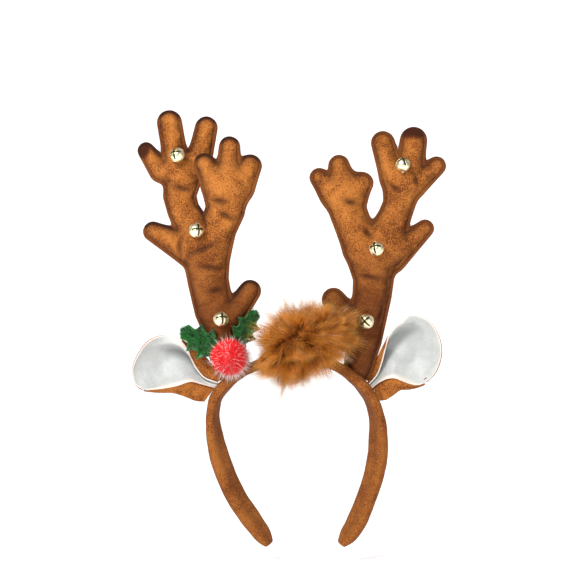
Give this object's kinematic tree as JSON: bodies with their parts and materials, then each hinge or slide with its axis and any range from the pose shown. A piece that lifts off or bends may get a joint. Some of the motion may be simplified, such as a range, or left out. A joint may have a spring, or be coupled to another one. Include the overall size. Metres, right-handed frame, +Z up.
{
  "type": "reindeer antler headband",
  "caption": "Padded velour headband with stuffed reindeer antlers, cupped ears, a fur tuft, jingle bells, holly leaves and a tinsel pompom.",
  "frame": {"origin": "underside of the band's crown, midway between its front and back edges, where it sits on top of a head", "axes": "+Z up along the antlers, -Y to the front, where the bells and the fur face, +X to the left ear of the wearer"},
  "size_m": [0.2412, 0.0534, 0.3371],
  "materials": {
    "velour_brown": "crushed velour pile, brown",
    "satin_white": "satin velour, off-white",
    "fur_brown": "long soft pile, golden brown",
    "tinsel_red": "fine metallic film strands, red with pale tips",
    "tinsel_green": "pressed metallic film strands, green",
    "bell_gold": "polished plating, pale gold",
    "pellet_steel": "plain"
  },
  "bodies": {
    "root": {"headband": "velour_brown", "antler_left": "velour_brown", "antler_right": "velour_brown", "ear_left_shell": "velour_brown", "ear_right_shell": "velour_brown", "ear_left_lining": "satin_white", "ear_right_lining": "satin_white", "fur_tuft": "fur_brown", "pompom": "tinsel_red", "holly_leaf_left": "tinsel_green", "holly_leaf_right": "tinsel_green", "bell_left_top": "bell_gold", "bell_left_middle": "bell_gold", "bell_left_low": "bell_gold", "bell_right_top": "bell_gold", "bell_right_middle": "bell_gold", "bell_right_low": "bell_gold", "bell_pellet_left_top": "pellet_steel", "bell_pellet_left_middle": "pellet_steel", "bell_pellet_left_low": "pellet_steel", "bell_pellet_right_top": "pellet_steel", "bell_pellet_right_middle": "pellet_steel", "bell_pellet_right_low": "pellet_steel"}
  },
  "joints": []
}
